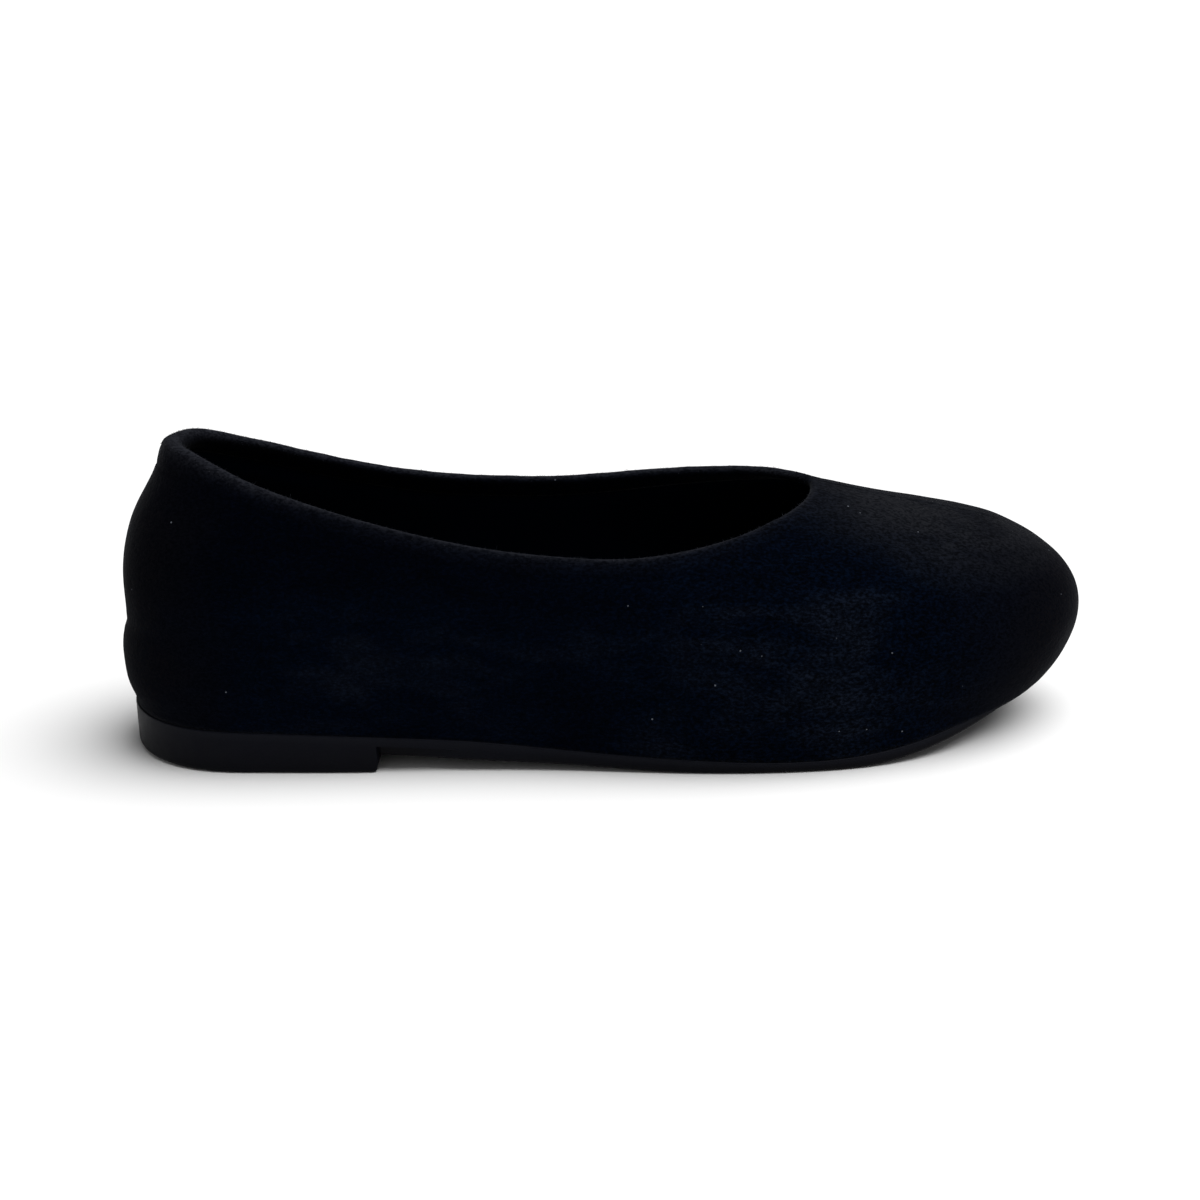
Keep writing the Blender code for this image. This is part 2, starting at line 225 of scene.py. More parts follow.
def wall_grids(columns, ahead, v, lower):
    """both sides as rows x columns of points, foot to collar and crest; lower is
    how far below the collar line they end, and v the heights of the rows"""
    drop = lower if callable(lower) else (lambda s: lower)
    ths = {k: h.throat(drop(0.69)) for k, h in SIDES.items()}
    th = sum(ths.values()) / 2
    heel_t = sum(h.collar(0.0, drop(0.0)) for h in SIDES.values()) / 2
    out = {}
    f = np.r_[np.linspace(0, FAN_FOOT, columns - ahead + 1), np.linspace(FAN_FOOT, 1, ahead + 1)[1:]]
    for side, h in SIDES.items():
        s = ths[side] * (1 - (1 - np.linspace(0, 1, 400))**2)
        t = np.array([h.collar(q, drop(q)) for q in s])
        t[0] = heel_t
        along = np.r_[0, np.cumsum(np.linalg.norm(np.diff(h.at(s, t), axis=0), axis=1))]
        even = np.linspace(0, along[-1], columns - ahead + 1)
        top = np.r_[np.interp(even, along, s), np.linspace(th, 1, ahead + 1)[1:]]
        tops = np.r_[np.interp(even, along, t), np.ones(ahead)]
        top[columns - ahead], tops[columns - ahead] = th, 1.0
        g = np.zeros((len(v), columns + 1, 3))
        for c in range(columns + 1):
            g[:, c] = h.at(f[c] + (top[c] - f[c]) * v**FAN_BEND, v * tops[c])
            down = g[-1, c, 2] + drop(top[c]) - g[:, c, 2]
            wide = np.where(down > NECK_DROP, NECK_BELOW, NECK_ABOVE)
            pull = NECK * smooth(70, 12, g[:, c, 0]) * np.exp(-((down - NECK_DROP) / wide)**2)
            wide = np.where(g[:, c, 2] > FOLD_Z, FOLD_ABOVE, FOLD_BELOW)
            pull += FOLD * smooth(36, 6, g[:, c, 0]) * np.exp(-((g[:, c, 2] - FOLD_Z) / wide)**2)
            d = unit(np.array([52.0, 0.0]) - g[:, c, :2])
            g[:, c, :2] += d * pull[:, None] * (f[c] < 0.5)
        out[side] = g
    return out, f


# ------------------------------------------------------------- mesh helpers
def make(name, verts, faces, mats, slots=None, weld=2e-5):
    """mesh object from millimetre points"""
    p = (np.asarray(verts, float) - CENTRE) * MM
    me = bpy.data.meshes.new(name)
    me.from_pydata(p.tolist(), [], faces)
    for m in mats:
        me.materials.append(m)
    if slots is not None:
        me.polygons.foreach_set("material_index", np.asarray(slots, np.int32))
    bm = bmesh.new()
    bm.from_mesh(me)
    if weld:
        bmesh.ops.remove_doubles(bm, verts=bm.verts, dist=weld)
        bmesh.ops.dissolve_degenerate(bm, edges=bm.edges, dist=1e-6)
    bmesh.ops.recalc_face_normals(bm, faces=bm.faces)
    bm.to_mesh(me)
    bm.free()
    me.polygons.foreach_set("use_smooth", [True] * len(me.polygons))
    ob = bpy.data.objects.new(name, me)
    bpy.context.scene.collection.objects.link(ob)
    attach(ob, "root")
    return ob


def points(ob):
    a = np.empty(len(ob.data.vertices) * 3)
    ob.data.vertices.foreach_get("co", a)
    return a.reshape(-1, 3) / MM + CENTRE


def normals(ob):
    a = np.empty(len(ob.data.vertices) * 3)
    ob.data.vertex_normals.foreach_get("vector", a)
    return a.reshape(-1, 3)


def put_points(ob, p):
    ob.data.vertices.foreach_set("co", ((p - CENTRE) * MM).ravel())
    ob.data.update()


def paint(ob, name, values):
    """a number for each point, for the material to read"""
    a = ob.data.attributes.new(name, "FLOAT", "POINT")
    a.data.foreach_set("value", np.asarray(values, np.float32))


def nearest(p, curve):
    """distance of each point to a dense run of points, and the index of the nearest"""
    d, k = np.empty(len(p)), np.empty(len(p), int)
    for i in range(0, len(p), 4000):
        m = np.linalg.norm(p[i:i + 4000, None] - curve[None], axis=2)
        k[i:i + 4000] = m.argmin(1)
        d[i:i + 4000] = m.min(1)
    return d, k


def face_out(ob, inside=False):
    """turns the sheet so that its outermost face looks away from the shoe"""
    low = min(ob.data.polygons, key=lambda q: q.center.y)
    if (low.normal.y > 0) != inside:
        ob.data.flip_normals()


def solidify(ob, thick):
    m = ob.modifiers.new("thickness", "SOLIDIFY")
    m.thickness = thick * MM
    m.offset = -1.0
    m.use_even_offset = False
    return m


def wobble(p, size, seed, octaves=3):
    """smooth noise of about -1 to 1 from a few sums of sines in fixed directions"""
    r = np.random.default_rng(seed)
    out = np.zeros(len(p))
    amp, total = 1.0, 0.0
    for o in range(octaves):
        for _ in range(5):
            k = r.normal(size=3)
            k *= 2 * pi / size * (1.9**o) / np.linalg.norm(k) * r.uniform(0.7, 1.3)
            out += amp * np.sin(p @ k + r.uniform(0, 2 * pi))
        total += amp * 5**0.5
        amp *= 0.5
    return out / total


# --------------------------------------------------------------- materials
def tree(name):
    m = bpy.data.materials.new(name)
    m.use_nodes = True
    nt = m.node_tree
    return m, nt, nt.nodes["Principled BSDF"]


class Nodes:
    """short hand for building a node tree"""

    def __init__(self, nt):
        self.nt = nt
        self.co = nt.nodes.new("ShaderNodeTexCoord").outputs["Object"]

    def link(self, a, b):
        self.nt.links.new(a, b)

    def stretched(self, scale):
        n = self.nt.nodes.new("ShaderNodeMapping")
        n.inputs["Scale"].default_value = scale
        self.link(self.co, n.inputs["Vector"])
        return n.outputs["Vector"]

    def noise(self, scale, detail=3.0, rough=0.55, vec=None, distort=0.0):
        n = self.nt.nodes.new("ShaderNodeTexNoise")
        n.inputs["Scale"].default_value = scale
        n.inputs["Detail"].default_value = detail
        n.inputs["Roughness"].default_value = rough
        n.inputs["Distortion"].default_value = distort
        self.link(vec or self.co, n.inputs["Vector"])
        return n.outputs["Fac"]

    def ramp(self, fac, stops):
        n = self.nt.nodes.new("ShaderNodeValToRGB")
        e = n.color_ramp.elements
        while len(e) < len(stops):
            e.new(0.5)
        for k, (pos, col) in enumerate(stops):
            e[k].position = pos
            e[k].color = (*col, 1) if len(col) == 3 else (col[0],) * 3 + (1,)
        self.link(fac, n.inputs["Fac"])
        return n.outputs["Color"]

    def math(self, op, a, b=None, c=None, clamp=False):
        n = self.nt.nodes.new("ShaderNodeMath")
        n.operation = op
        n.use_clamp = clamp
        for k, v in enumerate((a, b, c)):
            if v is None:
                continue
            if isinstance(v, (int, float)):
                n.inputs[k].default_value = v
            else:
                self.link(v, n.inputs[k])
        return n.outputs[0]

    def mix(self, fac, a, b, blend="MIX"):
        n = self.nt.nodes.new("ShaderNodeMix")
        n.data_type = "RGBA"
        n.blend_type = blend
        for k, v in ((0, fac), (6, a), (7, b)):
            if isinstance(v, (int, float)):
                n.inputs[k].default_value = v
            elif isinstance(v, tuple):
                n.inputs[k].default_value = (*v, 1)
            else:
                self.link(v, n.inputs[k])
        return n.outputs[2]

    def attribute(self, name):
        n = self.nt.nodes.new("ShaderNodeAttribute")
        n.attribute_name = name
        return n.outputs["Fac"]

    def axis(self, k):
        n = self.nt.nodes.new("ShaderNodeSeparateXYZ")
        self.link(self.co, n.inputs[0])
        return n.outputs[k]

    def span(self, value, a, b, lo=0.0, hi=1.0):
        n = self.nt.nodes.new("ShaderNodeMapRange")
        n.interpolation_type = "SMOOTHSTEP"
        n.inputs["From Min"].default_value = a
        n.inputs["From Max"].default_value = b
        n.inputs["To Min"].default_value = lo
        n.inputs["To Max"].default_value = hi
        self.link(value, n.inputs["Value"])
        return n.outputs["Result"]

    def bump(self, height, strength, distance, under=None):
        n = self.nt.nodes.new("ShaderNodeBump")
        n.inputs["Strength"].default_value = strength
        n.inputs["Distance"].default_value = distance
        self.link(height, n.inputs["Height"])
        if under is not None:
            self.link(under, n.inputs["Normal"])
        return n.outputs["Normal"]


def suede():
    m, nt, b = tree("suede")
    n = Nodes(nt)
    grain = n.noise(1700, 2.0, 0.6, n.stretched((0.6, 1.0, 1.0)))
    tuft = n.noise(800, 3, 0.6, n.stretched((0.6, 1.0, 1.0)))
    brushed = n.noise(75, 5, 0.62, n.stretched((0.5, 1.0, 1.6)), 0.7)
    cloud = n.noise(26, 4, 0.55, None, 0.4)
    nap = n.math("ADD", n.math("MULTIPLY", brushed, 0.42), n.math("MULTIPLY_ADD", cloud, 0.38, 0.10))
    # places where the nap has been brushed the lighter way
    for centre, reach, gain in (
            ((0.043, -0.036, 0.027), 0.036, 0.14), ((0.060, -0.030, 0.040), 0.020, 0.10),
            ((0.061, -0.036, 0.014), 0.018, 0.10), ((-0.068, -0.032, 0.030), 0.036, 0.16),
            ((-0.040, -0.034, 0.022), 0.036, 0.14), ((-0.010, -0.036, 0.030), 0.022, 0.10),
            ((0.020, -0.038, 0.040), 0.018, 0.12), ((0.012, -0.036, 0.010), 0.014, 0.14)):
        v = nt.nodes.new("ShaderNodeVectorMath")
        v.operation = "DISTANCE"
        n.link(n.co, v.inputs[0])
        v.inputs[1].default_value = centre
        patch = n.span(v.outputs["Value"], reach, 0.0, 0.0, gain)
        nap = n.math("ADD", nap, n.math("MULTIPLY", patch, n.span(brushed, 0.28, 0.64, 0.50, 1.20)))
    nap = n.math("ADD", nap, n.span(n.axis(0), 0.000, 0.045, 0.0, 0.055))
    dark = n.math("MULTIPLY", n.span(n.axis(0), -0.010, -0.060, 0.0, 0.16), n.span(n.axis(2), 0.036, 0.050))
    nap = n.math("SUBTRACT", nap, dark)
    col = n.ramp(nap, [(0.36, SUEDE_DARK), (0.58, SUEDE_MID), (0.92, SUEDE_LIGHT)])
    fleck = n.math("ADD", n.math("MULTIPLY", grain, 0.72), n.math("MULTIPLY", tuft, 0.28))
    # the grain stands out more on the forefoot than on the brushed-flat quarters
    tone = n.math("MULTIPLY_ADD", n.math("SUBTRACT", fleck, 0.5), n.span(n.axis(0), -0.030, 0.060, 0.5, 1.0), 0.5)
    col = n.mix(1.0, col, n.ramp(tone, [(0.37, (0.25,)), (0.5, (0.88,)), (0.63, (2.3,))]), "MULTIPLY")
    speck = n.span(fleck, 0.38, 0.62, 0.32, 1.10)
    # painted sheen: greyer colour at the two ends of the shoe, round the toe tip and down the back of the heel
    stray = n.math("MULTIPLY_ADD", n.math("SUBTRACT", cloud, 0.5), 0.045, n.axis(0))
    end_sheen = n.math("MAXIMUM", n.span(stray, 0.074, 0.118), n.span(stray, -0.086, -0.120))
    col = n.mix(n.math("MULTIPLY", end_sheen, speck), col, SUEDE_END_SHEEN)
    # painted sheen: lighter, greyer colour where the surface faces up, read from the crown value
    top_sheen = n.math("MULTIPLY", n.attribute("top_sheen"), n.span(brushed, 0.34, 0.60, 0.50, 1.0))
    col = n.mix(n.math("MULTIPLY", top_sheen, speck), col, SUEDE_TOP_SHEEN)
    # painted highlight: lighter colour along the top of the rolled edge
    col = n.mix(n.math("MULTIPLY", n.attribute("edge"), speck), col, (0.0170, 0.0180, 0.0230))
    # lint caught in the nap
    v = nt.nodes.new("ShaderNodeTexVoronoi")
    v.inputs["Scale"].default_value = 170
    n.link(n.co, v.inputs["Vector"])
    near = n.span(v.outputs["Distance"], 0.052, 0.022)
    sep = nt.nodes.new("ShaderNodeSeparateColor")
    n.link(v.outputs["Color"], sep.inputs[0])
    few = n.math("GREATER_THAN", sep.outputs[0], n.span(n.axis(0), -0.030, 0.040, 0.80, 0.30))
    col = n.mix(n.math("MULTIPLY", near, few), col, (0.11, 0.12, 0.14))
    n.link(col, b.inputs["Base Color"])
    b.inputs["Roughness"].default_value = 0.92
    b.inputs["Specular IOR Level"].default_value = 0.01
    b.inputs["Sheen Weight"].default_value = SHEEN
    b.inputs["Sheen Roughness"].default_value = SHEEN_ROUGH
    b.inputs["Sheen Tint"].default_value = (0.90, 0.93, 1.0, 1)
    h = n.bump(grain, 0.6, 0.00018)
    h = n.bump(tuft, 0.45, 0.00035, h)
    n.link(n.bump(brushed, 0.25, 0.0012, h), b.inputs["Normal"])
    return m


def lining():
    m, nt, b = tree("lining")
    n = Nodes(nt)
    pore = n.noise(1500, 3, 0.6)
    soft = n.noise(60, 3, 0.5)
    n.link(n.ramp(soft, [(0.3, (0.0003, 0.0017, 0.0056)), (0.7, (0.0006, 0.0026, 0.0080))]), b.inputs["Base Color"])
    n.link(n.ramp(pore, [(0.3, (0.66,)), (0.7, (0.78,))]), b.inputs["Roughness"])
    b.inputs["Specular IOR Level"].default_value = 0.015
    n.link(n.bump(pore, 0.3, 0.0001), b.inputs["Normal"])
    return m


def footbed():
    m, nt, b = tree("footbed")
    n = Nodes(nt)
    pore = n.noise(1100, 4, 0.6)
    soft = n.noise(45, 3, 0.5)
    col = n.ramp(soft, [(0.3, (0.0040, 0.0044, 0.0062)), (0.7, (0.0072, 0.0078, 0.0104))])
    col = n.mix(1.0, col, n.ramp(pore, [(0.35, (0.70,)), (0.65, (1.25,))]), "MULTIPLY")
    n.link(col, b.inputs["Base Color"])
    n.link(n.ramp(pore, [(0.3, (0.55,)), (0.7, (0.70,))]), b.inputs["Roughness"])
    b.inputs["Specular IOR Level"].default_value = 0.10
    n.link(n.bump(pore, 0.4, 0.00012), b.inputs["Normal"])
    return m


def rubber():
    m, nt, b = tree("sole_rubber")
    n = Nodes(nt)
    fine = n.noise(2600, 2, 0.5)
    mould = n.noise(260, 4, 0.6)
    wide = n.noise(55, 3, 0.5, n.stretched((1, 1, 0.3)))
    col = n.ramp(n.math("ADD", n.math("MULTIPLY", wide, 0.7), n.math("MULTIPLY", mould, 0.3)),
                 [(0.3, (0.0010, 0.0013, 0.0037)), (0.7, (0.0018, 0.0022, 0.0054))])
    # painted shade: darker in the undercut behind the heel and along the lower edge
    col = n.mix(n.math("MULTIPLY", n.attribute("under"), 0.85), col, (0.0006, 0.0006, 0.0016))
    # painted highlight: lighter colour along the sole's rounded top edge
    col = n.mix(n.math("MULTIPLY", n.attribute("top_edge_highlight"), n.span(mould, 0.3, 0.7, 0.55, 0.95)), col, (0.0056, 0.0063, 0.0100))
    n.link(col, b.inputs["Base Color"])
    n.link(n.ramp(mould, [(0.3, (0.40,)), (0.7, (0.54,))]), b.inputs["Roughness"])
    b.inputs["Specular IOR Level"].default_value = 0.06
    h = n.bump(fine, 0.35, 0.00008)
    n.link(n.bump(mould, 0.2, 0.0003, h), b.inputs["Normal"])
    return m


def fibre():
    m, nt, b = tree("nap_fibre")
    n = Nodes(nt)
    n.link(n.ramp(n.noise(900, 2), [(0.35, (0.010, 0.011, 0.015)), (0.65, (0.040, 0.043, 0.052))]), b.inputs["Base Color"])
    b.inputs["Roughness"].default_value = 0.9
    b.inputs["Specular IOR Level"].default_value = 0.02
    return m


SUEDE, LINING, FOOTBED, RUBBER, FIBRE = suede(), lining(), footbed(), rubber(), fibre()


# -------------------------------------------------------------------- upper
def build_suede():
    columns, ahead = 224, 74
    v = np.r_[np.linspace(0, 0.86, 46), np.linspace(0.86, 1, 19)[1:]]
    grids, f = wall_grids(columns, ahead, v, roll_radius)
    rim = columns - ahead
    verts, faces, slots = [], [], []
    rows = len(v)
    steps = np.linspace(0, pi, 13)[1:]
    tuck = np.linspace(0, 1, 7)[1:]
    # the end of the throat is drawn round: points near it follow the evened rim
    sharp = np.vstack([grids[-1][-1, :rim + 1], grids[1][-1, rim - 1:0:-1]])
    even = sharp.copy()
    near = (smooth(26, 10, np.linalg.norm(sharp - sharp[rim], axis=1)) * 0.5)[:, None]
    for _ in range(THROAT_ROUND):
        even += near * ((np.roll(even, 1, 0) + np.roll(even, -1, 0)) / 2 - even)
    for side in (-1, 1):
        q = grids[side].reshape(-1, 3)
        d, k = nearest(q, sharp)
        grids[side] = (q + (even - sharp)[k] * np.exp(-(d / 7.0)**2)[:, None]).reshape(grids[side].shape)
    # the rim as one closed run: lateral heel to throat, then medial back to the heel
    ring = np.vstack([grids[-1][-1, :rim + 1], grids[1][-1, rim - 1:0:-1]])
    below = np.vstack([grids[-1][-3, :rim + 1], grids[1][-3, rim - 1:0:-1]])
    n = len(ring)
    tangent = unit(np.roll(ring, -1, 0) - np.roll(ring, 1, 0))
    up = ring - below
    up = unit(up - tangent * np.sum(up * tangent, 1)[:, None])
    out = np.cross(tangent, up)
    out *= np.sign(np.sum(out[n // 8] * np.array([0, -1.0, 0])))
    # even the frame out along the rim
    for _ in range(3):
        out = unit(out + np.roll(out, 1, 0) + np.roll(out, -1, 0))
        up = unit(np.cross(out, tangent))
        up *= np.sign(np.sum(up * (ring - below), 1))[:, None]
    base = {}
    for side in (-1, 1):
        base[side] = len(verts)
        verts += grids[side].reshape(-1, 3).tolist()
        m = columns + 1
        for r in range(rows - 1):
            for c in range(columns):
                q = [base[side] + r * m + c, base[side] + r * m + c + 1, base[side] + (r + 1) * m + c + 1, base[side] + (r + 1) * m + c]
                faces.append(q if side < 0 else q[::-1])
    first = [base[-1] + (rows - 1) * (columns + 1) + c for c in range(rim + 1)]
    first += [base[1] + (rows - 1) * (columns + 1) + c for c in range(rim - 1, 0, -1)]
    s_ring = np.r_[np.linspace(0, 1, rim + 1), np.linspace(1, 0, rim + 1)[1:-1]]
    r = ROLL_SIDE + (ROLL_HEEL - ROLL_SIDE) * smooth(0.20, 0.0, s_ring)
    prev = first
    profile = [(-r * (1 - np.cos(a)), r * np.sin(a)) for a in steps]
    lean = np.minimum(2.1, 2 * r)
    profile += [(-(2 * r + (lean - 2 * r) * smooth(0, 1, k)), -FACING * k) for k in tuck]
    for inn, high in profile:
        row = ring + out * np.broadcast_to(inn, n)[:, None] + up * np.broadcast_to(high, n)[:, None]
        start = len(verts)
        verts += row.tolist()
        here = list(range(start, start + n))
        for i in range(n):
            j = (i + 1) % n
            faces.append([prev[i], prev[j], here[j], here[i]])
        prev = here
    ob = make("upper_suede", verts, faces, [SUEDE])
    face_out(ob)
    # fine shape: gathered edge band, centre seam, heel crease, soft unevenness
    p, nn = points(ob), normals(ob)
    dist, _ = nearest(p, ring)
    inner = np.einsum("ij,ij->i", p - ring[nearest(p, ring)[1]], out[nearest(p, ring)[1]]) < -0.4
    inner &= dist < 5.3
    free = smooth(0, 2.0, dist) * ~inner
    edge = smooth(150, 120, p[:, 0]) * 0.7 + 0.3
    band = 0.20 * np.sin(pi * np.clip(dist / BAND_HIGH, 0, 1)) * edge * ~inner
    groove = -0.16 * np.exp(-((dist - BAND_HIGH - 0.5) / 0.6)**2) * edge * ~inner
    # small gathers that the elastic makes in the edge band
    along = wobble(p, 7.0, 5, 2) * 0.10 * np.exp(-((dist - 2.2) / 2.4)**2) * ~inner
    cx = np.linspace(THROAT_X, 236, 240)
    line = np.column_stack([cx, centre(cx) + CREST_SIDE * smooth(235, 190, cx), spline(CREST, 1, cx)])
    ds, ks = nearest(p, line)
    fade = smooth(0, 4, ks) * smooth(225, 185, ks)
    seam = (-0.28 * np.exp(-(ds / 0.42)**2) + 0.10 * np.exp(-((ds - 1.5) / 0.8)**2)) * fade * ~inner
    back = np.abs(p[:, 1]) + 50 * (p[:, 0] > 30)
    rear = (-0.32 * np.exp(-(back / 0.45)**2) + 0.10 * np.exp(-((back - 1.6) / 0.8)**2)) * free
    rear *= smooth(0.3, 3.5, p[:, 2] - feather(p[:, 0]))
    # worn folds across the heel back, above the counter
    crease = -0.30 * np.exp(-((p[:, 2] - 32.4 - 0.10 * np.abs(p[:, 1])) / 1.3)**2) * smooth(22, 5, p[:, 0]) * free
    crease += 0.40 * np.exp(-((p[:, 2] - 18.5) / 4.0)**2) * smooth(30, 6, p[:, 0]) * free
    uneven = (0.20 * wobble(p, 46, 21, 2) + 0.07 * wobble(p, 15, 22, 2)) * free * smooth(0, 6, p[:, 2] - feather(p[:, 0]))
    # the suede comes down onto the sole, close to its edge
    low = p[:, 2] - feather(p[:, 0])
    turn = smooth(*LAP_FROM, p[:, 0])
    foot = (0.32 * np.exp(-(low / 1.5)**2) + 0.42 * turn * np.exp(-(low / 4.0)**2)) * ~inner
    # painted sheen mask: grows as the surface faces up, on the vamp and toe
    start = 0.74 - 0.22 * smooth(182, 214, p[:, 0])
    top_sheen = np.clip((nn[:, 2] - start) / (0.99 - start), 0, 1)**1.5 * smooth(160, 186, p[:, 0]) * ~inner
    p = p + nn * (band + groove + along + seam + rear + crease + uneven + foot)[:, None]
    # and laps over the sole's edge round the toe
    p[:, 2] -= (0.22 * np.exp(-(low / 0.8)**2) + LAP * turn * np.exp(-(low / 6.0)**2)) * ~inner
    put_points(ob, p)
    # painted highlight: a lighter band along the top of the rolled edge, wider towards the heel and faded at the
    # end of the throat
    brow = ring - out * r[:, None] * 0.8 + up * r[:, None]
    reach = 1.1 + 1.3 * smooth(64, 14, p[:, 0])
    rim_highlight = np.exp(-(nearest(p, brow)[0] / reach)**2) + 0.13 * np.exp(-(dist / 2.8)**2) * ~inner
    rim_highlight *= 1 - 0.9 * np.exp(-(np.linalg.norm(p - ring[rim], axis=1) / 6.0)**2)
    paint(ob, "edge", np.clip(rim_highlight, 0, 1))
    paint(ob, "top_sheen", top_sheen)
    solidify(ob, SKIN)
    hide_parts("upper")
    return ob, ring, out, up, r


upper, RING, RING_OUT, RING_UP, RING_R = build_suede()


def build_nap(count):
    """short raised fibres along the rolled edge, each a closed tapering spike"""
    me = upper.data
    p, nn = points(upper), normals(upper)
    edge = np.empty(len(me.vertices), np.float32)
    me.attributes["edge"].data.foreach_get("value", edge)
    quads = np.array([q.vertices[:] for q in me.polygons if len(q.vertices) == 4])
    a, b, c, d = (p[quads[:, k]] for k in range(4))
    area = np.linalg.norm(np.cross(c - a, d - b), axis=1) / 2
    weight = area * np.clip(edge[quads].mean(1) - 0.12, 0, 1)
    pick = RNG.choice(len(quads), count, p=weight / weight.sum())
    u, v = RNG.random((2, count, 1))
    at = (a[pick] * (1 - u) + b[pick] * u) * (1 - v) + (d[pick] * (1 - u) + c[pick] * u) * v
    n = unit(nn[quads[pick]].mean(1))
    grow = unit(n + RNG.normal(0, 0.55, (count, 3)))
    grow = unit(grow + n * np.maximum(0.35 - np.sum(grow * n, 1), 0)[:, None])
    bend = unit(grow + RNG.normal(0, 0.35, (count, 3)))
    long = RNG.uniform(0.25, 0.75, (count, 1)) * np.where(RNG.random((count, 1)) < 0.03, 2.0, 1.0)
    e1 = unit(np.cross(grow, RNG.normal(0, 1, (count, 3))))
    e2 = np.cross(grow, e1)
    rows = []
    for along, wide in ((-0.15, 0.042), (0.0, 0.040), (0.55, 0.026)):
        middle = at + (grow * along if along < 0 else grow * long * along)
        for k in range(3):
            rows.append(middle + (e1 * cos(2 * pi * k / 3) + e2 * sin(2 * pi * k / 3)) * wide)
    rows.append(at + grow * long * 0.55 + bend * long * 0.45)
    verts = np.stack(rows, 1).reshape(-1, 3)
    one = [[2, 1, 0]]
    for r in (0, 3):
        one += [[r + k, r + (k + 1) % 3, r + 3 + (k + 1) % 3, r + 3 + k] for k in range(3)]
    one += [[6 + k, 6 + (k + 1) % 3, 9] for k in range(3)]
    faces = [[q + 10 * i for q in f] for i in range(count) for f in one]
    ob = make("nap_fibres", verts, faces, [FIBRE], weld=0)


build_nap(1500)


def build_lining():
    columns, ahead = 120, 38
    v = np.linspace(0, 1, 36)
    grids, _ = wall_grids(columns, ahead, v, 4.8)
    verts, faces = [], []
    for side in (-1, 1):
        base, m = len(verts), columns + 1
        verts += grids[side].reshape(-1, 3).tolist()
        for r in range(len(v) - 1):
            for c in range(columns):
                q = [base + r * m + c, base + r * m + c + 1, base + (r + 1) * m + c + 1, base + (r + 1) * m + c]
                faces.append(q if side < 0 else q[::-1])
    ob = make("lining", verts, faces, [LINING])
    face_out(ob)
    p, nn = points(ob), normals(ob)
    rim, _ = nearest(p, RING)
    tucked = smooth(8.5, 5.0, rim)
    put_points(ob, p - nn * (1.85 - 0.6 * tucked + 0.12 * wobble(p, 22, 31, 2) * (1 - tucked))[:, None])
    ob.data.flip_normals()
    solidify(ob, 0.45)
    return ob


build_lining()


# ------------------------------------------------------------ sole, footbed
def rings(xs, side, insets):
    p = dense_outline(side)
    n = outward(p, side)
    q = np.stack([xs, centre(xs) + side * half_width(xs, side)], 1)
    nn = unit(np.stack([np.interp(xs, p[:, 0], n[:, 0]), np.interp(xs, p[:, 0], n[:, 1])], 1))
    nn[0], nn[-1] = (-1, 0), (1, 0)
    return [q - nn * np.broadcast_to(i, xs.shape)[:, None] for i in insets]


def lofted(name, xs, insets, heights, across, mats, shape=None):
    """closed body: both sides carry the same rings, the first and last are joined
    across by strips; shape(x, y, z, top) may move the points of those strips"""
    verts, faces = [], []
    edge = {}
    for side in (-1, 1):
        for k, r in enumerate(rings(xs, side, insets)):
            start = len(verts)
            verts += np.column_stack([r, np.broadcast_to(heights[k], xs.shape)]).tolist()
            edge[side, k] = start
    last, n = len(insets) - 1, len(xs)
    for side in (-1, 1):
        for k in range(last):
            a, b = edge[side, k], edge[side, k + 1]
            for i in range(n - 1):
                faces.append([a + i, a + i + 1, b + i + 1, b + i])
    fr = np.linspace(0, 1, across + 1)
    for k in (0, last):
        a = np.array(verts[edge[-1, k]:edge[-1, k] + n])
        b = np.array(verts[edge[1, k]:edge[1, k] + n])
        start = len(verts)
        grid = a[:, None] + (b - a)[:, None] * fr[None, 1:-1, None]
        if shape is not None:
            grid[..., 2] = shape(grid[..., 0], grid[..., 1], grid[..., 2], k == 0, fr[None, 1:-1] * np.ones((n, 1)))
        verts += grid.reshape(-1, 3).tolist()
        m = across - 1
        for i in range(n - 1):
            row0 = [edge[-1, k] + i] + [start + i * m + j for j in range(m)] + [edge[1, k] + i]
            row1 = [edge[-1, k] + i + 1] + [start + (i + 1) * m + j for j in range(m)] + [edge[1, k] + i + 1]
            for j in range(across):
                faces.append([row0[j], row0[j + 1], row1[j + 1], row1[j]])
    return make(name, verts, faces, mats, weld=1e-6)


def end_stations(n, extra=(), room=0.35):
    x = list(SOLE_BACK + (SOLE_FRONT - SOLE_BACK) * (1 - np.cos(np.linspace(0, pi, n))) / 2)
    x = [q for q in x if all(abs(q - e) > room for e in extra)] + list(extra)
    return np.array(sorted(x))


def sharpen(ob, angle):
    ob.data.set_sharp_from_angle(angle=radians(angle))


